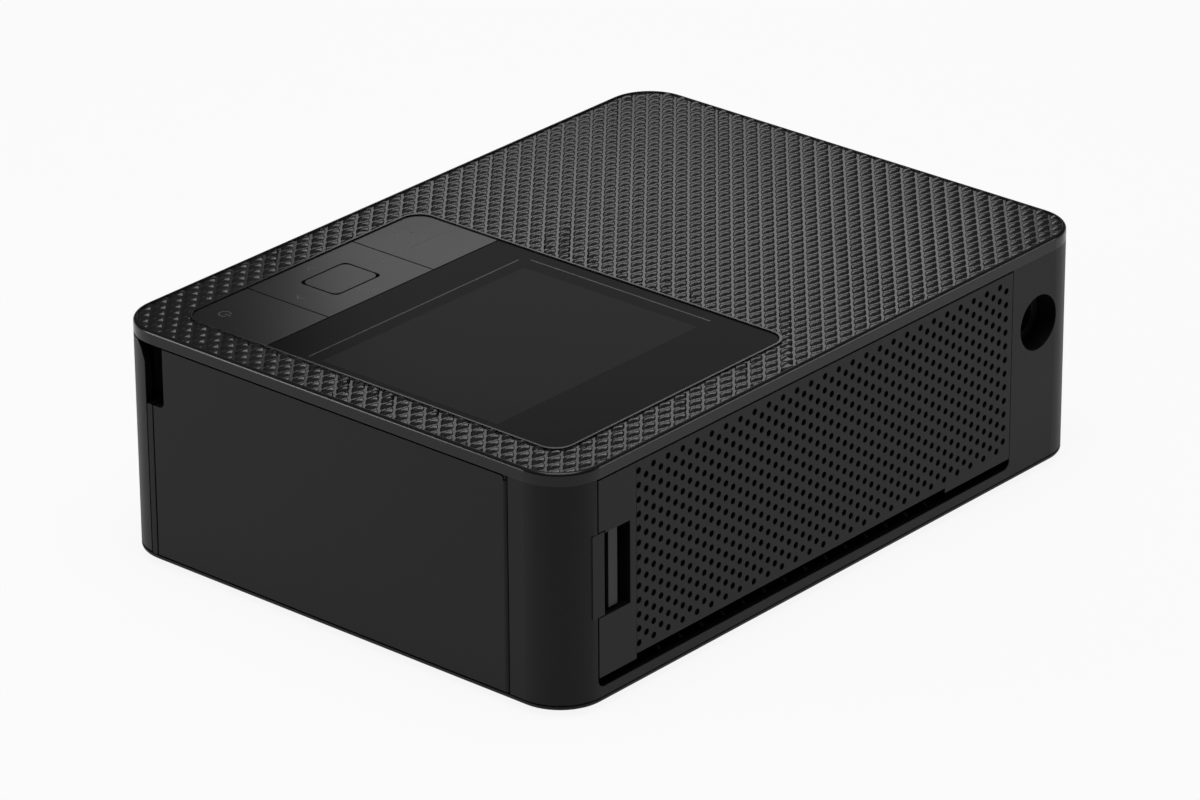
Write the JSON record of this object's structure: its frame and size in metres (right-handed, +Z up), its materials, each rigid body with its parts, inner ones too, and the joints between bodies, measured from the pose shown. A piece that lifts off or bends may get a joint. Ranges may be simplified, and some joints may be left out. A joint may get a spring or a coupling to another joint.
{
  "type": "compact photo printer",
  "caption": "Low black box printer for small photos with a sunken display and key panel on top, a hinged front door and a side door over an ink cassette, and a perforated rear wall.",
  "frame": {"origin": "centre of the case's plan, on the plane that the rubber feet stand on", "axes": "+X across the case towards the ink door, +Y towards the rear wall with the paper slot, +Z up"},
  "size_m": [0.1822, 0.133, 0.0576],
  "materials": {
    "case": "satin black moulded plastic",
    "rubber": "matt rubber",
    "steel": "plated sheet and bar",
    "glass": "glossy black acrylic window",
    "display": "display module",
    "board": "solder mask",
    "keys": "glossy black caps",
    "socket": "black moulded plastic",
    "gears": "natural acetal",
    "bushes": "sintered bronze",
    "cassette": "dark grey plastic",
    "film": "dye film",
    "heatsink": "extruded",
    "ceramic": "glazed ceramic"
  },
  "bodies": {
    "case": {"base_tray": "case", "feet": "rubber", "base_screws": "steel", "body_shell": "case", "inner_frame": "case", "top_cover": "case", "panel_carrier": "case", "display_glass": "glass", "lcd_module": "display", "control_board": "board", "key_domes": "steel", "vent_grille": "case", "rear_end_panel": "case", "battery_terminal": "socket", "dc_jack": "socket", "chassis": "steel", "shaft_bushes": "bushes", "gear_bracket": "steel", "feed_motor": "steel", "ribbon_motor": "steel", "cassette_shell": "cassette", "ribbon": "film", "head_pivot": "steel", "paper_guide_lower": "case", "paper_guide_upper": "case", "fan_frame": "socket", "main_board": "board", "power_board": "board", "front_board": "board", "card_reader": "steel", "usb_socket": "steel"},
    "front_door": {"front_door": "case", "front_hinge_pins": "steel"},
    "ink_door": {"ink_door": "case"},
    "power_button": {"power_button": "keys"},
    "ok_button": {"ok_button": "keys"},
    "nav_ring": {"nav_ring": "steel"},
    "nav_pad": {"nav_pad": "keys"},
    "menu_rocker": {"menu_rocker": "keys"},
    "eject_lever": {"eject_lever": "gears"},
    "platen": {"platen_shaft": "steel", "platen_roller": "rubber", "platen_gear": "gears"},
    "capstan": {"capstan": "steel", "capstan_gear": "gears"},
    "pinch_roller": {"pinch_roller": "steel"},
    "pickup": {"pickup_shaft": "steel", "pickup_wheels": "rubber", "pickup_gear": "gears"},
    "feed_idler": {"feed_idler": "gears"},
    "pickup_idler": {"pickup_idler": "gears"},
    "feed_pinion": {"feed_pinion": "gears"},
    "ribbon_pinion": {"ribbon_pinion": "gears"},
    "takeup_drive": {"takeup_drive": "gears"},
    "supply_spool": {"supply_spool": "film"},
    "takeup_spool": {"takeup_spool": "film"},
    "head": {"head_arm": "steel", "head_heatsink": "heatsink", "print_head": "ceramic"},
    "fan": {"fan_impeller": "socket"}
  },
  "joints": [
    {"name": "front_door_hinge", "type": "hinge", "parent": "case", "child": "front_door", "pos_m": [0, -0.0649, 0.0046], "axis": [1, 0, 0], "range_deg": [0, 90]},
    {"name": "ink_door_hinge", "type": "hinge", "parent": "case", "child": "ink_door", "pos_m": [0.0901, 0.0493, 0.029], "axis": [0, 0, 1], "range_deg": [0, 100]},
    {"name": "power_press", "type": "slide", "parent": "case", "child": "power_button", "axis": [0, 0, -1], "range_m": [0, 0.0005], "stiffness_N_per_m": 900, "springref_m": -0.0004},
    {"name": "ok_press", "type": "slide", "parent": "case", "child": "ok_button", "axis": [0, 0, -1], "range_m": [0, 0.0005], "stiffness_N_per_m": 900, "springref_m": -0.0004},
    {"name": "nav_tilt_fore", "type": "hinge", "parent": "case", "child": "nav_ring", "pos_m": [0.0423, -0.0426, 0.05335], "axis": [1, 0, 0], "range_deg": [-1, 1], "stiffness_Nm_per_rad": 0.02},
    {"name": "nav_tilt_side", "type": "hinge", "parent": "nav_ring", "child": "nav_pad", "pos_m": [0.0423, -0.0426, 0.05335], "axis": [0, 1, 0], "range_deg": [-1, 1], "stiffness_Nm_per_rad": 0.02},
    {"name": "menu_tilt", "type": "hinge", "parent": "case", "child": "menu_rocker", "pos_m": [0.0139, -0.0426, 0.05335], "axis": [1, 0, 0], "range_deg": [-1.2, 1.2], "stiffness_Nm_per_rad": 0.02},
    {"name": "eject_swing", "type": "hinge", "parent": "case", "child": "eject_lever", "pos_m": [0.0882, -0.026, 0.0345], "axis": [1, 0, 0], "range_deg": [0, 20], "stiffness_Nm_per_rad": 0.002},
    {"name": "platen_spin", "type": "hinge", "parent": "case", "child": "platen", "pos_m": [0.014, 0.012, 0.011], "axis": [1, 0, 0], "continuous": true},
    {"name": "capstan_spin", "type": "hinge", "parent": "case", "child": "capstan", "pos_m": [0.014, 0.029, 0.0138], "axis": [1, 0, 0], "continuous": true},
    {"name": "pinch_spin", "type": "hinge", "parent": "case", "child": "pinch_roller", "pos_m": [0.014, 0.029, 0.0205], "axis": [1, 0, 0], "continuous": true},
    {"name": "pickup_spin", "type": "hinge", "parent": "case", "child": "pickup", "pos_m": [0.014, -0.02789, 0.02008], "axis": [1, 0, 0], "continuous": true},
    {"name": "feed_idler_spin", "type": "hinge", "parent": "case", "child": "feed_idler", "pos_m": [-0.047, 0.01962, 0.02128], "axis": [1, 0, 0], "continuous": true},
    {"name": "pickup_idler_spin", "type": "hinge", "parent": "case", "child": "pickup_idler", "pos_m": [-0.047, -0.01204, 0.01785], "axis": [1, 0, 0], "continuous": true},
    {"name": "feed_motor_spin", "type": "hinge", "parent": "case", "child": "feed_pinion", "pos_m": [-0.047, 0.0023, 0.0166], "axis": [1, 0, 0], "continuous": true},
    {"name": "takeup_drive_spin", "type": "hinge", "parent": "case", "child": "takeup_drive", "pos_m": [-0.047, 0.033, 0.0345], "axis": [1, 0, 0], "continuous": true},
    {"name": "ribbon_motor_spin", "type": "hinge", "parent": "case", "child": "ribbon_pinion", "pos_m": [-0.047, 0.04653, 0.03943], "axis": [1, 0, 0], "continuous": true},
    {"name": "supply_spin", "type": "hinge", "parent": "case", "child": "supply_spool", "pos_m": [0.014, -0.009, 0.0345], "axis": [1, 0, 0], "continuous": true},
    {"name": "takeup_spin", "type": "hinge", "parent": "case", "child": "takeup_spool", "pos_m": [0.014, 0.033, 0.0345], "axis": [1, 0, 0], "continuous": true},
    {"name": "head_lift", "type": "hinge", "parent": "case", "child": "head", "pos_m": [0.014, -0.026, 0.044], "axis": [1, 0, 0], "range_deg": [0, 3]},
    {"name": "fan_spin", "type": "hinge", "parent": "case", "child": "fan", "pos_m": [0.0175, 0.06025, 0.03055], "axis": [0, 1, 0], "continuous": true}
  ],
  "couplings": [
    {"joint": "feed_idler_spin", "follows": "platen_spin", "ratio": -1},
    {"joint": "capstan_spin", "follows": "platen_spin", "ratio": 1.1429},
    {"joint": "pinch_spin", "follows": "platen_spin", "ratio": -1.1429},
    {"joint": "feed_motor_spin", "follows": "platen_spin", "ratio": -1.3333},
    {"joint": "pickup_idler_spin", "follows": "platen_spin", "ratio": 0.66667},
    {"joint": "pickup_spin", "follows": "platen_spin", "ratio": -1},
    {"joint": "takeup_drive_spin", "follows": "takeup_spin", "ratio": 1},
    {"joint": "ribbon_motor_spin", "follows": "takeup_spin", "ratio": -2},
    {"joint": "supply_spin", "follows": "takeup_spin", "ratio": 0.6875}
  ]
}
